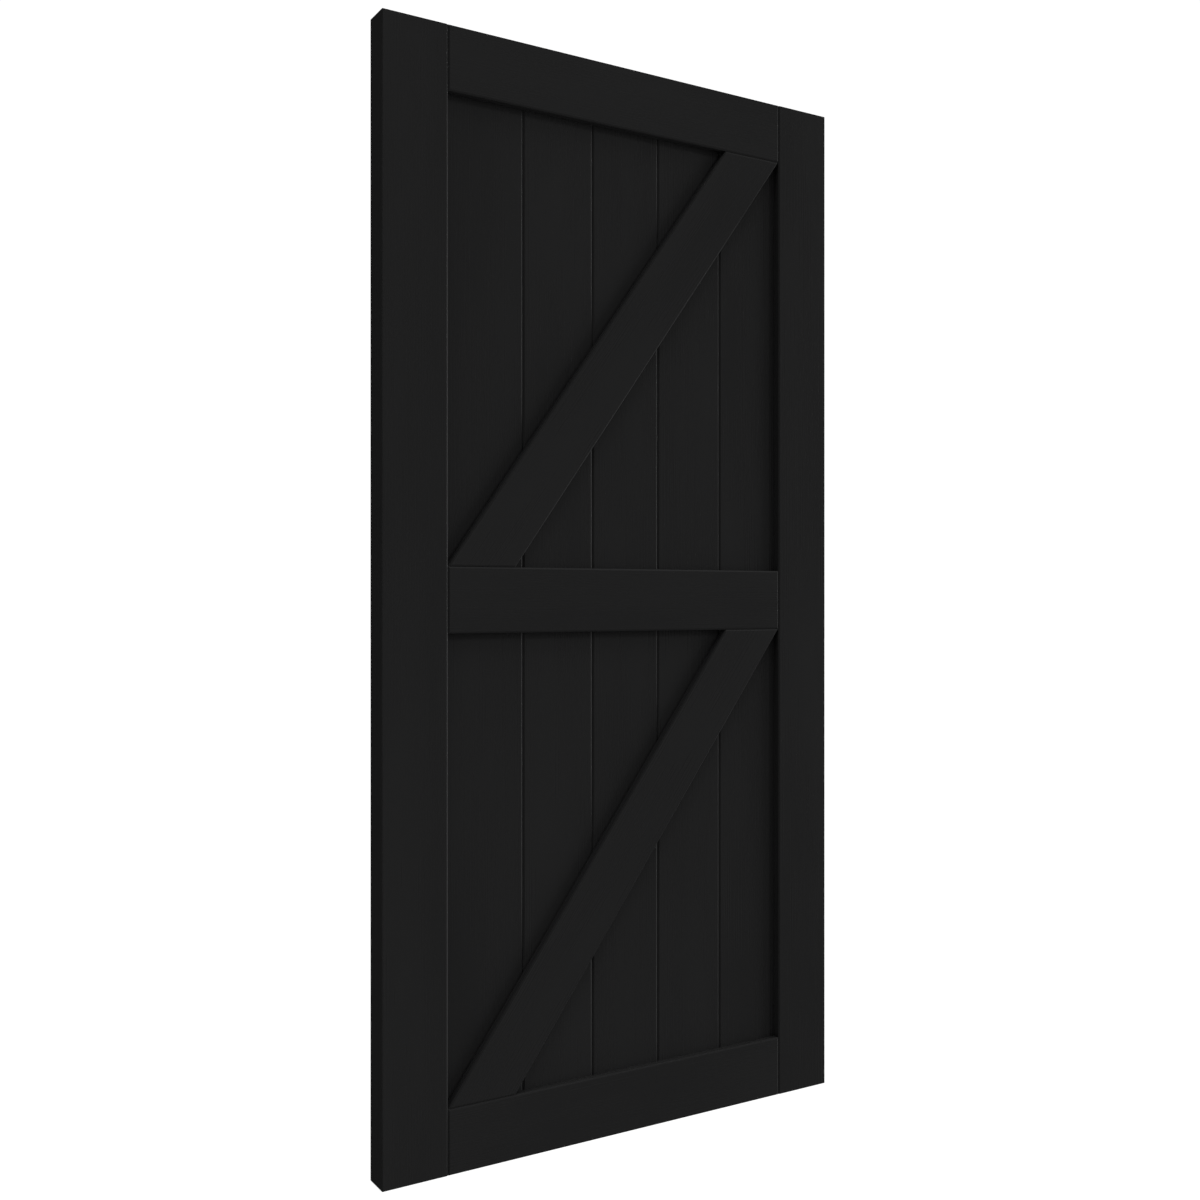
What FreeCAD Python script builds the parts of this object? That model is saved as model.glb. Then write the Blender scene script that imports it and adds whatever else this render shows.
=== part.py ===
import FreeCAD, Part
import os
import Sketcher

# Framed, ledged and braced door leaf, millimetres.
# Frame of the model: origin on the hinge edge, at the foot of the door and in the
# middle of its thickness. +X runs across the door to the lock edge, +Y to the
# boarded back, +Z up. The braced front faces -Y.
#
# Two full-height stiles and a top rail are the full thickness of the door. The
# middle and bottom ledges and the two braces are thin, flush with the frame at the
# front. Tongued and grooved, V-jointed boards run behind the ledges from the foot of
# the door up into the top rail. Rails and ledges have stub tenons in the stiles.

doc = FreeCAD.newDocument("door")

# ---------------------------------------------------------------- dimensions
sheet = doc.addObject("Spreadsheet::Sheet", "dims")
DIMS = [
    ("door_w", 1000),       # overall width
    ("door_h", 2050),       # overall height
    ("door_t", 56),         # overall thickness: stiles and top rail
    ("stile_w", 125),       # face width of each stile
    ("top_h", 118),         # face height of the top rail
    ("mid_h", 120),         # face height of the middle ledge
    ("foot_h", 118),        # face height of the bottom ledge
    ("mid_z", 965),         # underside of the middle ledge
    ("ledge_t", 15),        # thickness of ledges and braces: depth of the panels
    ("board_t", 22),        # thickness of the boards
    ("brace_w", 110),       # face width of a brace
    ("bevel", 3.2),         # chamfer on the frame's inner arrises: width on the face
    ("bevel_d", 1.5),       # the same, depth from the face
    ("edge_bevel", 2.5),    # 45 degree chamfer along the two long arrises of a brace
    ("ease", 1),            # eased arris round the outside of the door
    ("first", 159),         # cover width of the board at the hinge stile
    ("cover", 150),         # cover width of the boards between the outermost two
    ("board_n", 5),         # boards across the opening
    ("vee", 3.4),           # chamfer on each edge of a board: half a V-joint
    ("vee_d", 1.6),         # depth of that chamfer
    ("crack", 0.7),         # open joint between two boards
    ("tongue_t", 8),        # thickness of a tongue
    ("tongue_l", 10),       # length of a tongue
    ("play", 0.2),          # play each side of a tongue or tenon
    ("gap", 1.5),           # room left at the tip of a tongue or tenon
    ("tenon_l", 75),        # length of a stub tenon
    ("tenon_t", 18),        # thickness of the top rail's tenon
    ("bare_t", 10),         # thickness of a ledge's barefaced tenon
    ("haunch", 30),         # set-in of a tenon from the end of a stile
    ("set_in", 18),         # set-in of a tenon from an inner edge of a rail
]
for row, (name, value) in enumerate(DIMS, start=1):
    sheet.set("A%d" % row, name)
    sheet.set("B%d" % row, str(value))
    sheet.setAlias("B%d" % row, name)
doc.recompute()

# Lengths used in several places, as formulas on the sheet.
OPEN_W = "(dims.door_w - 2 * dims.stile_w)"                  # between the stiles
OPEN_H = "(dims.mid_z - dims.foot_h)"                        # height of the lower panel
UPPER_H = "(dims.door_h - dims.top_h - dims.mid_z - dims.mid_h)"
FRONT = "(-dims.door_t / 2)"                                 # front face
BACK = "(dims.door_t / 2)"                                   # back face of the frame
B_FRONT = "(-dims.door_t / 2 + dims.ledge_t)"                # front face of the boards
B_BACK = "(-dims.door_t / 2 + dims.ledge_t + dims.board_t)"  # back face of the boards
B_MID = "(-dims.door_t / 2 + dims.ledge_t + dims.board_t / 2)"
T_FRONT = "(%s - dims.tongue_t / 2)" % B_MID                 # a tongue's two faces
T_BACK = "(%s + dims.tongue_t / 2)" % B_MID
G_FRONT = "(%s - dims.tongue_t / 2 - dims.play)" % B_MID     # a groove's two faces
G_BACK = "(%s + dims.tongue_t / 2 + dims.play)" % B_MID
G_DEEP = "(dims.tongue_l + dims.gap)"
BOARD_L = "(dims.door_h - dims.top_h)"

VALUES = dict(DIMS)


def number(formula):
    """The starting value of a formula, worked out term by term from the sheet."""
    probe.setExpression("Length", None)
    probe.setExpression("Length", "(" + formula + ") + 10000")
    probe.recompute()
    return probe.Length.Value - 10000


probe = doc.addObject("Part::Box", "probe")   # a gauge for formulas, removed below
doc.recompute()


# ---------------------------------------------------------------- helpers
def new_body(name, x=None, z=None):
    body = doc.addObject("PartDesign::Body", name)
    body.Label = name
    body.Placement = FreeCAD.Placement()
    if x:
        body.setExpression("Placement.Base.x", x)
    if z:
        body.setExpression("Placement.Base.z", z)
    doc.recompute()
    return body


def plane_of(body, role):
    return [f for f in body.Origin.OriginFeatures if f.Role == role][0]


def sketch_on(body, name, role, offset=None):
    sk = body.newObject("Sketcher::SketchObject", name)
    sk.AttachmentSupport = [(plane_of(body, role), "")]
    sk.MapMode = "FlatFace"
    if offset:
        sk.setExpression("AttachmentOffset.Base.z", offset)
    return sk


def outline(sk, corners):
    """A closed outline through corners, each a pair of formulas, fully constrained."""
    pts = [(number(u), number(v)) for u, v in corners]
    first = sk.GeometryCount
    n = len(pts)
    for i in range(n):
        a, b = pts[i], pts[(i + 1) % n]
        sk.addGeometry(Part.LineSegment(FreeCAD.Vector(a[0], a[1], 0),
                                        FreeCAD.Vector(b[0], b[1], 0)), False)
    for i in range(n):
        sk.addConstraint(Sketcher.Constraint("Coincident", first + i, 2,
                                             first + (i + 1) % n, 1))
    for i, (u, v) in enumerate(corners):
        for axis, formula, value in (("DistanceX", u, pts[i][0]),
                                     ("DistanceY", v, pts[i][1])):
            if abs(value) < 1e-9:
                # on an axis of the sketch
                line = -2 if axis == "DistanceX" else -1
                sk.addConstraint(Sketcher.Constraint("PointOnObject", first + i, 1, line))
            else:
                c = sk.addConstraint(Sketcher.Constraint(axis, -1, 1, first + i, 1, value))
                sk.setExpression("Constraints[%d]" % c, formula)


def rectangle(sk, u0, v0, u1, v1):
    outline(sk, [(u0, v0), (u1, v0), (u1, v1), (u0, v1)])


def pad(body, sk, length, name, reverse=False):
    f = body.newObject("PartDesign::Pad", name)
    f.Profile = sk
    f.setExpression("Length", length)
    f.Reversed = reverse
    sk.Visibility = False
    doc.recompute()
    body.Tip = f
    return f


def pocket(body, sk, depth, name, reverse=False):
    before = body.Shape.Volume
    f = body.newObject("PartDesign::Pocket", name)
    f.Profile = sk
    f.setExpression("Length", depth)
    f.Reversed = reverse
    sk.Visibility = False
    doc.recompute()
    body.Tip = f
    doc.recompute()
    if not body.Shape.Volume < before - 1.0:
        raise RuntimeError("%s: %s cuts nothing" % (body.Label, name))
    return f


def edges_where(body, wanted, name):
    edges = ["Edge%d" % (i + 1) for i, e in enumerate(body.Tip.Shape.Edges) if wanted(e)]
    if not edges:
        raise RuntimeError("%s: no edge for %s" % (body.Label, name))
    return edges


def face_area(shape, y_face):
    """The area of a shape's flat faces in the plane y = y_face."""
    return sum(f.Area for f in shape.Faces if f.BoundBox.YLength < 1e-6
               and abs(f.BoundBox.YMin - y_face) < 1e-6)


def bevel_edge(body, wanted, y_face, name):
    """A chamfer on the one edge of the face at y_face for which wanted(edge) holds,
    dims.bevel wide on that face and dims.bevel_d deep."""
    doc.recompute()
    tip = body.Tip
    edges = edges_where(body, wanted, name)
    if len(edges) != 1:
        raise RuntimeError("%s: %s has %d edges" % (body.Label, name, len(edges)))
    length = tip.Shape.getElement(edges[0]).Length
    before = face_area(tip.Shape, y_face)
    f = body.newObject("PartDesign::Chamfer", name)
    f.Base = (tip, edges)
    f.ChamferType = "Two distances"
    f.setExpression("Size", "dims.bevel")
    f.setExpression("Size2", "dims.bevel_d")
    doc.recompute()
    middle = length * (VALUES["bevel"] + VALUES["bevel_d"]) / 2
    if before - face_area(f.Shape, y_face) < middle:
        f.FlipDirection = not f.FlipDirection     # the width had gone on the other face
        doc.recompute()
    if before - face_area(f.Shape, y_face) < middle:
        raise RuntimeError("%s: %s lies the wrong way" % (body.Label, name))
    body.Tip = f
    return f


def bevel_edges(body, wanted, size, name):
    """A 45 degree chamfer on the edges of the body's tip for which wanted(edge) holds."""
    doc.recompute()
    tip = body.Tip
    edges = edges_where(body, wanted, name)
    f = body.newObject("PartDesign::Chamfer", name)
    f.Base = (tip, edges)
    f.setExpression("Size", size)
    doc.recompute()
    body.Tip = f
    return f


# ---------------------------------------------------------------- stiles
def make_stile(name, side, x):
    """side is '' for the hinge stile, whose wood lies on +X of its outer edge, and
    '-' for the lock stile, whose wood lies on -X of its outer edge."""
    body = new_body(name, x=x)
    sw, ch, dp, es = side + "dims.stile_w", "dims.bevel", "dims.bevel_d", "dims.ease"
    sgn = "-" if side else ""
    anti = "+" if side else "-"
    section = sketch_on(body, name + "_section", "XY_Plane")
    outline(section, [
        (sgn + es, FRONT),
        ("%s %s %s" % (sw, anti, ch), FRONT),
        (sw, FRONT + " + " + dp),
        (sw, BACK + " - " + dp),
        ("%s %s %s" % (sw, anti, ch), BACK),
        (sgn + es, BACK),
        ("0", BACK + " - " + es),
        ("0", FRONT + " + " + es),
    ])
    pad(body, section, "dims.door_h", name + "_length")

    # groove in the inner edge for the tongue of the outermost board
    inner = side + "dims.stile_w"
    groove = sketch_on(body, name + "_groove_line", "YZ_Plane", inner)
    rectangle(groove, G_FRONT, "0", G_BACK, BOARD_L + " + " + G_DEEP)
    pocket(body, groove, G_DEEP, name + "_groove", reverse=bool(side))

    # mortises for the stub tenons of the top rail and of the two ledges
    mortise = sketch_on(body, name + "_mortise_lines", "YZ_Plane", inner)
    rectangle(mortise, "-dims.tenon_t / 2 - dims.play",
              "dims.door_h - dims.top_h + dims.set_in - dims.play",
              "dims.tenon_t / 2 + dims.play",
              "dims.door_h - dims.haunch + dims.play")
    bare0 = B_FRONT + " - dims.bare_t - dims.play"
    rectangle(mortise, bare0, "dims.mid_z + dims.set_in - dims.play", B_FRONT,
              "dims.mid_z + dims.mid_h - dims.set_in + dims.play")
    rectangle(mortise, bare0, "dims.haunch - dims.play", B_FRONT,
              "dims.foot_h - dims.set_in + dims.play")
    pocket(body, mortise, "dims.tenon_l + dims.gap", name + "_mortises",
           reverse=bool(side))
    return body


hinge_stile = make_stile("hinge_stile", "", None)
lock_stile = make_stile("lock_stile", "-", "dims.door_w")


# ---------------------------------------------------------------- top rail
def tenons(body, name, y0, z0, y1, z1):
    """A stub tenon on each end of a rail whose shoulders are at x 0 and at its length."""
    left = sketch_on(body, name + "_tenon_a_line", "YZ_Plane")
    rectangle(left, y0, z0, y1, z1)
    pad(body, left, "dims.tenon_l", name + "_tenon_a", reverse=True)
    right = sketch_on(body, name + "_tenon_b_line", "YZ_Plane", OPEN_W)
    rectangle(right, y0, z0, y1, z1)
    pad(body, right, "dims.tenon_l", name + "_tenon_b")


def bevel_shoulders(body, y_face, name):
    """Chamfers on the two upright edges of a rail's face at y_face."""
    half = number(OPEN_W) / 2

    def upright(e, right):
        b = e.BoundBox
        return (b.XLength < 1e-6 and b.YLength < 1e-6 and b.ZLength > 20
                and abs(b.YMin - y_face) < 1e-6 and (b.XMin > half) == right)
    bevel_edge(body, lambda e: upright(e, False), y_face, name + "_a")
    bevel_edge(body, lambda e: upright(e, True), y_face, name + "_b")


top_rail = new_body("top_rail", x="dims.stile_w", z="dims.door_h - dims.top_h")
sk = sketch_on(top_rail, "top_rail_section", "YZ_Plane")
outline(sk, [
    (FRONT + " + dims.bevel_d", "0"),
    (BACK + " - dims.bevel_d", "0"),
    (BACK, "dims.bevel"),
    (BACK, "dims.top_h - dims.ease"),
    (BACK + " - dims.ease", "dims.top_h"),
    (FRONT + " + dims.ease", "dims.top_h"),
    (FRONT, "dims.top_h - dims.ease"),
    (FRONT, "dims.bevel"),
])
pad(top_rail, sk, OPEN_W, "top_rail_length")
bevel_shoulders(top_rail, -VALUES["door_t"] / 2, "top_rail_front_shoulder")
bevel_shoulders(top_rail, VALUES["door_t"] / 2, "top_rail_back_shoulder")
sk = sketch_on(top_rail, "top_rail_groove_line", "XY_Plane")
rectangle(sk, "0", G_FRONT, OPEN_W, G_BACK)
pocket(top_rail, sk, G_DEEP, "top_rail_groove", reverse=True)
tenons(top_rail, "top_rail", "-dims.tenon_t / 2", "dims.set_in",
       "dims.tenon_t / 2", "dims.top_h - dims.haunch")


# ---------------------------------------------------------------- ledges
def make_ledge(name, height, z, low_bevel, low_depth, tenon_low, tenon_high):
    body = new_body(name, x="dims.stile_w", z=z)
    sk = sketch_on(body, name + "_section", "YZ_Plane")
    outline(sk, [
        (FRONT + " + " + low_depth, "0"),
        (B_FRONT, "0"),
        (B_FRONT, height),
        (FRONT + " + dims.bevel_d", height),
        (FRONT, height + " - dims.bevel"),
        (FRONT, low_bevel),
    ])
    pad(body, sk, OPEN_W, name + "_length")
    bevel_shoulders(body, -VALUES["door_t"] / 2, name + "_shoulder")
    tenons(body, name, B_FRONT + " - dims.bare_t", tenon_low, B_FRONT, tenon_high)
    return body


middle_ledge = make_ledge("middle_ledge", "dims.mid_h", "dims.mid_z", "dims.bevel",
                          "dims.bevel_d", "dims.set_in", "dims.mid_h - dims.set_in")
bottom_ledge = make_ledge("bottom_ledge", "dims.foot_h", None, "dims.ease", "dims.ease",
                          "dims.haunch", "dims.foot_h - dims.set_in")


# ---------------------------------------------------------------- braces
def make_brace(name, height, z):
    """A brace that rises from the hinge side, corner to corner of its panel, with its
    ends cut level against the ledge or rail."""
    body = new_body(name, x="dims.stile_w", z=z)
    # length of the level cut, from the brace's width and the panel's size
    k = "(dims.brace_w ^ 2 / %s ^ 2)" % height
    cut = ("((-{k} * {l} + sqrt({k} ^ 2 * {l} ^ 2 + (1 - {k}) * (dims.brace_w ^ 2"
           " + {k} * {l} ^ 2))) / (1 - {k}))").format(k=k, l=OPEN_W)
    sk = sketch_on(body, name + "_face", "XZ_Plane",
                   "dims.door_t / 2 - dims.ledge_t")
    outline(sk, [("0", "0"), (cut, "0"), (OPEN_W, height),
                 (OPEN_W + " - " + cut, height)])
    pad(body, sk, "dims.ledge_t", name + "_thickness")
    y = -VALUES["door_t"] / 2
    middle = number(height) / 2

    def level(e, top):
        b = e.BoundBox
        return (b.YLength < 1e-6 and b.ZLength < 1e-6 and abs(b.YMin - y) < 1e-6
                and (b.ZMin > middle) == top)
    bevel_edges(body, lambda e: e.BoundBox.YLength < 1e-6 and e.BoundBox.ZLength > 20
                and abs(e.BoundBox.YMin - y) < 1e-6, "dims.edge_bevel",
                name + "_long_arrises")
    bevel_edge(body, lambda e: level(e, False), y, name + "_foot_arris")
    bevel_edge(body, lambda e: level(e, True), y, name + "_head_arris")
    return body


upper_brace = make_brace("upper_brace", UPPER_H, "dims.mid_z + dims.mid_h")
lower_brace = make_brace("lower_brace", OPEN_H, "dims.foot_h")


# ---------------------------------------------------------------- boards
def make_board(i, count):
    """Board i of count, from the hinge side. The boards between the outermost two cover
    equal widths. The outermost ones are cut to fit and have tongues in the stiles."""
    name = "board_%d" % i
    start = "dims.first + %d * dims.cover" % (i - 2)
    body = new_body(name, x="dims.stile_w" + (" + " + start if i > 1 else ""))
    last = i == count
    w = ("dims.first" if i == 1 else "dims.cover") + " - dims.crack"
    if last:
        w = "%s - dims.first - (dims.board_n - 2) * dims.cover" % OPEN_W
    v, d = "dims.vee", "dims.vee_d"
    tip = "%s + dims.tongue_l" % w
    pts = []
    # front face and right edge
    pts += [(v, B_FRONT)] if i > 1 else [("0", B_FRONT)]
    pts += [(w, B_FRONT)] if last else [(w + " - " + v, B_FRONT), (w, B_FRONT + " + " + d)]
    pts += [(w, T_FRONT), (tip, T_FRONT), (tip, T_BACK), (w, T_BACK)]
    pts += [(w, B_BACK)] if last else [(w, B_BACK + " - " + d), (w + " - " + v, B_BACK)]
    # back face and left edge
    if i > 1:
        pts += [(v, B_BACK), ("0", B_BACK + " - " + d), ("0", G_BACK),
                (G_DEEP, G_BACK), (G_DEEP, G_FRONT), ("0", G_FRONT),
                ("0", B_FRONT + " + " + d)]
    else:
        pts += [("0", B_BACK), ("0", T_BACK), ("-dims.tongue_l", T_BACK),
                ("-dims.tongue_l", T_FRONT), ("0", T_FRONT)]
    sk = sketch_on(body, name + "_section", "XY_Plane")
    outline(sk, pts)
    pad(body, sk, BOARD_L, name + "_length")
    # tongue on the top end, for the groove in the top rail
    sk = sketch_on(body, name + "_top_line", "XY_Plane", BOARD_L)
    rectangle(sk, G_DEEP if i > 1 else "0", T_FRONT, w, T_BACK)
    pad(body, sk, "dims.tongue_l", name + "_top_tongue")
    return body


N = int(VALUES["board_n"])
boards = [make_board(i, N) for i in range(1, N + 1)]

doc.removeObject("probe")
doc.recompute()

# ---------------------------------------------------------------- check and write
parts = [hinge_stile, lock_stile, top_rail, middle_ledge, bottom_ledge,
         upper_brace, lower_brace] + boards
for obj in doc.Objects:
    if "Invalid" in obj.State or "Error" in obj.State:
        raise RuntimeError("%s is %s" % (obj.Label, obj.State))
for obj in parts:
    if obj.Shape.isNull() or not obj.Shape.isValid() or len(obj.Shape.Solids) != 1:
        raise RuntimeError("%s has a bad shape" % obj.Label)

os.makedirs("parts", exist_ok=True)
total = 0.0
for obj in parts:
    obj.Shape.exportStep("parts/%s.step" % obj.Label)
    b = obj.Shape.BoundBox
    total += obj.Shape.Volume
    print("%-13s x %8.2f %8.2f  y %7.2f %7.2f  z %8.2f %8.2f  volume %10.1f cm3" % (
        obj.Label, b.XMin, b.XMax, b.YMin, b.YMax, b.ZMin, b.ZMax,
        obj.Shape.Volume / 1000))
print("total volume %.5f m3" % (total / 1e9))
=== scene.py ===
import bpy, bmesh, math
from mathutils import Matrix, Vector


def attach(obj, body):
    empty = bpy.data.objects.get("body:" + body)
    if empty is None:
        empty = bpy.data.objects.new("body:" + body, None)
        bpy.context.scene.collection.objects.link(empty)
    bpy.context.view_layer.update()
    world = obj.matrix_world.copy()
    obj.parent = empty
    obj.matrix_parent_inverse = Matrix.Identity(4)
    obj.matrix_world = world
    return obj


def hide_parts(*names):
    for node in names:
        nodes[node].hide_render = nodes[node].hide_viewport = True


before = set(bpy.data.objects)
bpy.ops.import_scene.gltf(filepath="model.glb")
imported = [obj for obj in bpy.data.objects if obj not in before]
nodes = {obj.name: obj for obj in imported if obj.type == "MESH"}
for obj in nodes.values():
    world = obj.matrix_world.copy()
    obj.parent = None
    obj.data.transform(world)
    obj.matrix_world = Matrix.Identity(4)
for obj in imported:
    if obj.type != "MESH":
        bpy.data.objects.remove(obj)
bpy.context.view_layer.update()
scene = bpy.context.scene

# ------------------------------------------------------------------ camera
# Level with the middle of the leaf, to the left of its hinge edge, turned towards it.
YAW = math.radians(31.35)
cam_data = bpy.data.cameras.new("camera")
cam_data.sensor_fit = "HORIZONTAL"
cam_data.sensor_width = 36.0
cam_data.lens = 39.80
cam_data.clip_start = 0.05
cam_data.clip_end = 300.0
cam = bpy.data.objects.new("camera", cam_data)
cam.location = (-0.8726, -0.028 - 2.1565, 1.025)
cam.rotation_euler = (math.radians(90.0), 0.0, -YAW)
scene.collection.objects.link(cam)
scene.camera = cam

scene.view_settings.view_transform = "Standard"
scene.view_settings.look = "None"
scene.view_settings.exposure = 0.0
scene.view_settings.gamma = 1.0


# ------------------------------------------------------------------ materials
class Nodes:
    """Short calls for a material's nodes."""

    def __init__(self, mat):
        mat.use_nodes = True
        self.tree = mat.node_tree
        self.tree.nodes.clear()

    def new(self, kind, **values):
        n = self.tree.nodes.new(kind)
        for k, v in values.items():
            setattr(n, k, v)
        return n

    def link(self, a, b):
        self.tree.links.new(a, b)

    def math(self, op, a, b=None, clamp=False):
        n = self.new("ShaderNodeMath", operation=op, use_clamp=clamp)
        for i, v in enumerate((a, b)):
            if v is None:
                continue
            if isinstance(v, (int, float)):
                n.inputs[i].default_value = v
            else:
                self.link(v, n.inputs[i])
        return n.outputs[0]

    def noise(self, vec, scale, detail=3.0, rough=0.5, distortion=0.0):
        n = self.new("ShaderNodeTexNoise")
        n.inputs["Scale"].default_value = scale
        n.inputs["Detail"].default_value = detail
        n.inputs["Roughness"].default_value = rough
        n.inputs["Distortion"].default_value = distortion
        self.link(vec, n.inputs["Vector"])
        return n.outputs[0]

    def mapping(self, vec, location=(0, 0, 0), rotation=(0, 0, 0), scale=(1, 1, 1), kind="POINT"):
        n = self.new("ShaderNodeMapping", vector_type=kind)
        n.inputs["Location"].default_value = location
        n.inputs["Rotation"].default_value = rotation
        n.inputs["Scale"].default_value = scale
        self.link(vec, n.inputs["Vector"])
        return n.outputs[0]

    def remap(self, value, a0, a1, b0, b1):
        n = self.new("ShaderNodeMapRange")
        self.link(value, n.inputs["Value"])
        for k, v in zip(("From Min", "From Max", "To Min", "To Max"), (a0, a1, b0, b1)):
            n.inputs[k].default_value = v
        return n.outputs[0]


BASE = (0.0118, 0.0118, 0.0119)
FILM, RUBBED = 0.28, 0.22      # roughness of the paint film, on the faces and on the arrises


def painted_timber(name, lean=0.0, level=False, seed=0, tone=1.0):
    """Satin black paint over planed softwood. The grain runs upright, level, or leans
    by an angle from upright. It shows only as faint relief and sheen under the paint."""
    mat = bpy.data.materials.new(name)
    n = Nodes(mat)
    out = n.new("ShaderNodeOutputMaterial")
    bsdf = n.new("ShaderNodeBsdfPrincipled")
    n.link(bsdf.outputs[0], out.inputs[0])
    place = n.new("ShaderNodeTexCoord").outputs["Object"]
    turn = math.pi / 2 if level else lean
    # z of this vector runs along the grain
    along = n.mapping(place, rotation=(0.0, -turn, 0.0))
    r = [math.sin(seed * 12.9898 + k * 78.233) * 43758.5453 for k in range(8)]
    r = [x - math.floor(x) for x in r]
    # growth rings, cut nearly along the log, so the faces carry long open arches
    pith = n.mapping(along, location=(0.14 + 0.22 * r[0], 0.05 + 0.09 * r[1], r[2]),
                     rotation=(math.radians(1.6 * (r[3] - 0.5)),
                               math.radians(2.4 * (r[4] - 0.5)), 0.0),
                     scale=(1.0, 1.0, 0.16))
    rings = n.new("ShaderNodeTexWave", wave_type="RINGS", rings_direction="Z",
                  wave_profile="SAW")
    rings.inputs["Scale"].default_value = 62.0
    rings.inputs["Distortion"].default_value = 7.0
    rings.inputs["Detail"].default_value = 2.0
    rings.inputs["Detail Scale"].default_value = 0.16
    rings.inputs["Detail Roughness"].default_value = 0.55
    n.link(pith, rings.inputs["Vector"])
    ring = rings.outputs["Fac"]
    # pores and brush marks: fine and long
    pores = n.noise(n.mapping(along, location=(r[5], r[6], 0), scale=(1.0, 1.0, 0.018)),
                    900.0, 3.0, 0.6)
    strokes = n.noise(n.mapping(along, location=(r[6], r[7], 0), scale=(1.0, 1.0, 0.008)),
                      260.0, 4.0, 0.55)
    peel = n.noise(place, 420.0, 2.0, 0.5)
    broad = n.noise(n.mapping(along, location=(r[7], r[0], 0), scale=(1.0, 1.0, 0.25)),
                    9.0, 3.0, 0.5)
    # relief
    relief = n.math("ADD", n.math("MULTIPLY", ring, 0.30), n.math("MULTIPLY", pores, 0.45))
    relief = n.math("ADD", relief, n.math("MULTIPLY", strokes, 0.60))
    relief = n.math("ADD", relief, n.math("MULTIPLY", peel, 0.18))
    bump = n.new("ShaderNodeBump")
    bump.inputs["Strength"].default_value = 1.0
    bump.inputs["Distance"].default_value = 0.00006
    n.link(relief, bump.inputs["Height"])
    n.link(bump.outputs[0], bsdf.inputs["Normal"])
    # sheen of the paint film
    shine = n.math("ADD", n.math("MULTIPLY", broad, 0.55), n.math("MULTIPLY", strokes, 0.45))
    film = n.remap(shine, 0.3, 0.7, FILM - 0.05, FILM + 0.05)
    rub = n.new("ShaderNodeAttribute", attribute_name="arris", attribute_type="GEOMETRY")
    drop = n.math("MULTIPLY", rub.outputs["Fac"], FILM - RUBBED)
    n.link(n.math("SUBTRACT", film, drop), bsdf.inputs["Roughness"])
    # colour: a slight drift of tone and a trace of the grain
    mix = n.new("ShaderNodeMix", data_type="RGBA")
    mix.inputs["A"].default_value = (*[c * tone * 0.90 for c in BASE], 1.0)
    mix.inputs["B"].default_value = (*[c * tone * 1.10 for c in BASE], 1.0)
    tint = n.math("ADD", n.math("MULTIPLY", broad, 0.6), n.math("MULTIPLY", ring, 0.15))
    tint = n.math("ADD", tint, n.math("MULTIPLY", pores, 0.25))
    n.link(n.remap(tint, 0.25, 0.75, 0.0, 1.0), mix.inputs["Factor"])
    n.link(mix.outputs["Result"], bsdf.inputs["Base Color"])
    bsdf.inputs["Specular IOR Level"].default_value = 0.25
    bsdf.inputs["IOR"].default_value = 1.5
    return mat


# ------------------------------------------------------------------ pieces
def soft_edged(node, width=0.0006, segments=2):
    """The node's own solid with every arris rounded by the paint on it."""
    bm = bmesh.new()
    bm.from_mesh(nodes[node].data)
    bmesh.ops.remove_doubles(bm, verts=bm.verts, dist=1e-6)
    bmesh.ops.dissolve_limit(bm, angle_limit=math.radians(1.0), verts=bm.verts,
                             edges=bm.edges, delimit=set())
    sharp = [e for e in bm.edges if e.is_manifold and e.calc_face_angle(0.0) > math.radians(20)]
    worn = bm.faces.layers.float.new("arris")
    new = bmesh.ops.bevel(bm, geom=sharp, offset=width, offset_type="OFFSET", segments=segments,
                          profile=0.5, affect="EDGES", clamp_overlap=True)
    for f in new["faces"]:
        f[worn] = 1.0
    bmesh.ops.recalc_face_normals(bm, faces=bm.faces)
    me = bpy.data.meshes.new(node + "_painted")
    bm.to_mesh(me)
    bm.free()
    for p in me.polygons:
        p.use_smooth = True
    o = bpy.data.objects.new(node + "_painted", me)
    scene.collection.objects.link(o)
    w = o.modifiers.new("even_shading", "WEIGHTED_NORMAL")
    w.keep_sharp = False
    w.weight = 100
    w.mode = "FACE_AREA"
    return o


LEAN = math.atan2(0.75 - 0.13587, 0.847)
GRAIN = {
    "hinge_stile": dict(), "lock_stile": dict(),
    "top_rail": dict(level=True), "middle_ledge": dict(level=True),
    "bottom_ledge": dict(level=True),
    "upper_brace": dict(lean=LEAN), "lower_brace": dict(lean=LEAN),
}
TONE = {"board_1": 0.99, "board_2": 1.01, "board_3": 0.985, "board_4": 1.0, "board_5": 0.99}
for k, name in enumerate(sorted(nodes)):
    piece = soft_edged(name)
    piece.data.materials.append(painted_timber(name + "_paint", seed=k + 1,
                                               tone=TONE.get(name, 1.0),
                                               **GRAIN.get(name, {})))
    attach(piece, "root")
    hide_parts(name)


# ------------------------------------------------------------------ floor and surround
def stage_mesh(name, make, mat):
    bm = bmesh.new()
    make(bm)
    me = bpy.data.meshes.new(name)
    bm.to_mesh(me)
    bm.free()
    o = bpy.data.objects.new(name, me)
    scene.collection.objects.link(o)
    me.materials.append(mat)
    return o


def pale(name, glow, colour):
    """A lit white: part of it glows, the rest takes the lights and so the shadows."""
    mat = bpy.data.materials.new(name)
    n = Nodes(mat)
    out = n.new("ShaderNodeOutputMaterial")
    e = n.new("ShaderNodeEmission")
    e.inputs["Color"].default_value = (1, 1, 1, 1)
    e.inputs["Strength"].default_value = glow
    if colour:
        d = n.new("ShaderNodeBsdfDiffuse")
        d.inputs["Color"].default_value = (colour, colour, colour, 1)
        add = n.new("ShaderNodeAddShader")
        n.link(e.outputs[0], add.inputs[0])
        n.link(d.outputs[0], add.inputs[1])
        n.link(add.outputs[0], out.inputs[0])
    else:
        n.link(e.outputs[0], out.inputs[0])
    return mat


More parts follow.
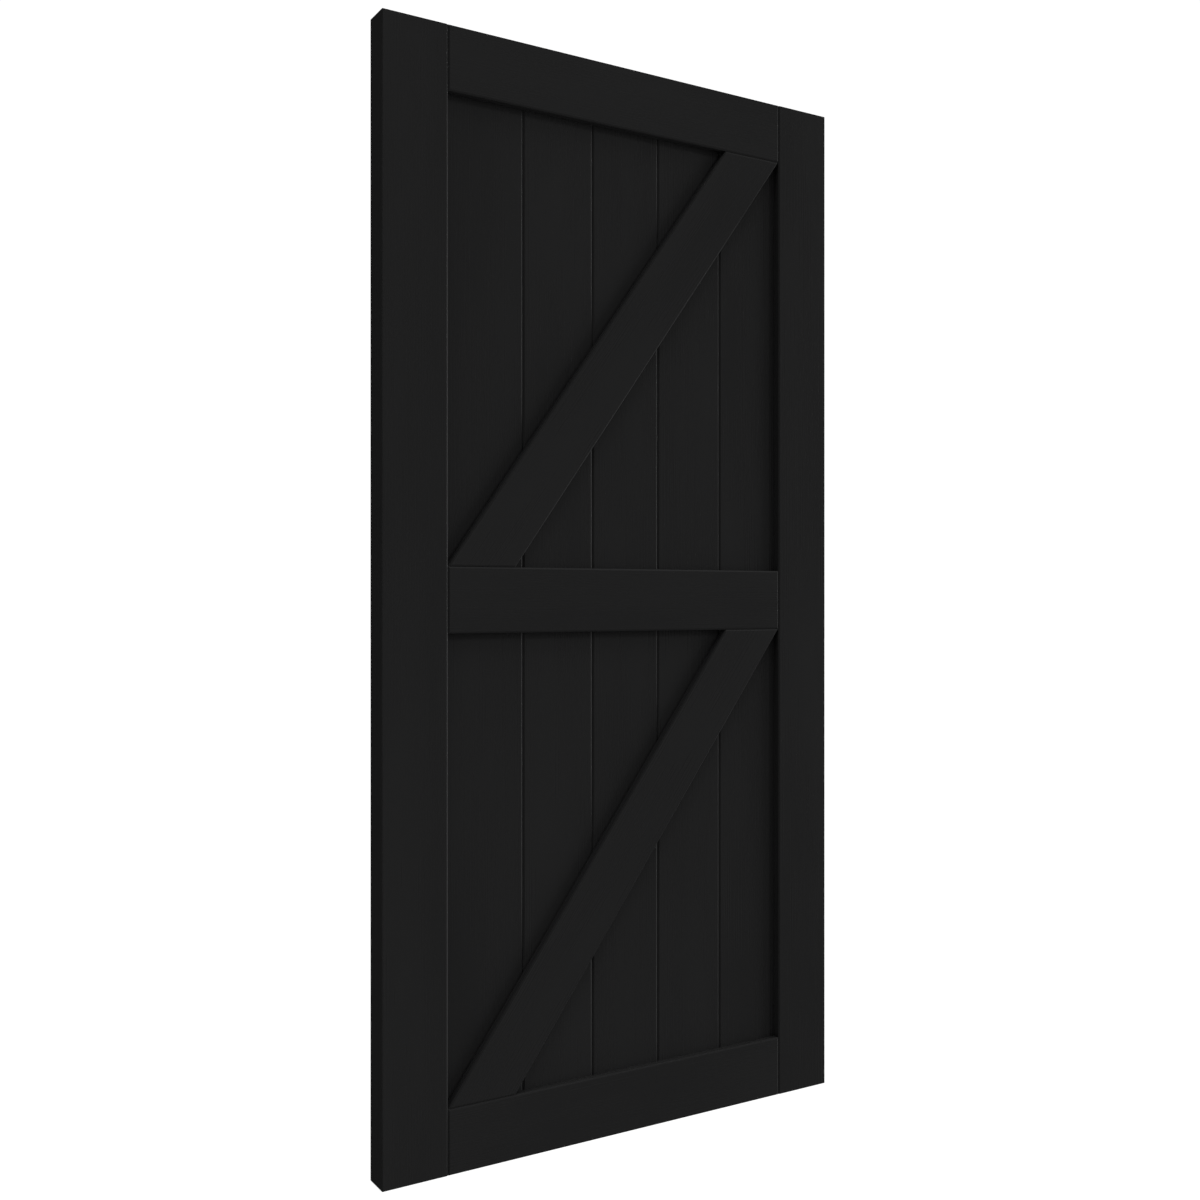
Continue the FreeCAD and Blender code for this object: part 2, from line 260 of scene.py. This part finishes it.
floor = stage_mesh("floor", lambda bm: bmesh.ops.create_circle(
    bm, cap_ends=True, radius=34.0, segments=96), pale("floor_white", 0.93, 0.12))
surround = stage_mesh("surround", lambda bm: bmesh.ops.create_uvsphere(
    bm, u_segments=64, v_segments=32, radius=35.0), pale("surround_white", 1.05, 0.0))
# what the paint mirrors: an even, dim room
room = stage_mesh("room", lambda bm: bmesh.ops.create_uvsphere(
    bm, u_segments=32, v_segments=16, radius=33.0), pale("room_grey", 0.02, 0.0))
for o in (floor, surround, room):
    o.visible_diffuse = False
    o.visible_glossy = o is room
    o.data.materials[0].cycles.emission_sampling = "NONE"
room.visible_camera = False
for o in (floor, surround, room):
    o.visible_shadow = False

world = bpy.data.worlds.new("studio")
scene.world = world
world.use_nodes = True
world.node_tree.nodes["Background"].inputs["Color"].default_value = (1, 1, 1, 1)
world.node_tree.nodes["Background"].inputs["Strength"].default_value = 0.385
world.cycles_visibility.glossy = False


# ------------------------------------------------------------------ lights
def sun(name, towards_light, strength, angle, glossy=False):
    """strength is what a white surface square to the light gives back."""
    d = bpy.data.lights.new(name, "SUN")
    d.energy = strength * math.pi
    d.angle = math.radians(angle)
    o = bpy.data.objects.new(name, d)
    o.rotation_mode = "QUATERNION"
    o.rotation_quaternion = Vector(towards_light).to_track_quat("Z", "Y")
    o.visible_glossy = glossy
    o.visible_diffuse = not glossy
    scene.collection.objects.link(o)
    return o


def softbox(name, towards, distance, size, radiance):
    """A tall or wide even panel, seen only in the sheen of the paint."""
    middle = Vector((0.5, 0.0, 1.025))
    away = Vector(towards).normalized()
    d = bpy.data.lights.new(name, "AREA")
    d.shape = "RECTANGLE"
    d.size, d.size_y = size
    d.energy = radiance * math.pi * size[0] * size[1]
    o = bpy.data.objects.new(name, d)
    o.location = middle + away * distance
    o.rotation_mode = "QUATERNION"
    o.rotation_quaternion = away.to_track_quat("Z", "Y")
    o.visible_diffuse = False
    o.visible_camera = False
    scene.collection.objects.link(o)
    return o


sun("key", (1.01, -1.0, 0.90), 0.30, 5.0)             # upper right, in front of the leaf
sun("side", (0.95, -0.19, 0.17), 1.72, 38.0)          # broad, far round to the right
sun("top", (0.05, -0.195, 0.96), 0.66, 30.0)          # broad, overhead
sun("left", (-0.98, -0.20, 0.0), 0.20, 30.0)          # broad, weak, on the hinge edge
sun("below", (0.0, -0.20, -0.98), 0.24, 30.0)         # what a pale floor sends back up
sun("back", (0.10, 1.0, 0.50), 0.85, 12.0)            # behind the leaf
softbox("rim", (0.974, -0.225, 0.0), 9.0, (3.2, 8.5), 0.65)
softbox("rim_top", (0.55, -0.50, 0.67), 9.0, (5.0, 2.6), 0.3)
softbox("rim_back", (-0.974, 0.225, 0.0), 9.0, (3.2, 8.5), 0.6)
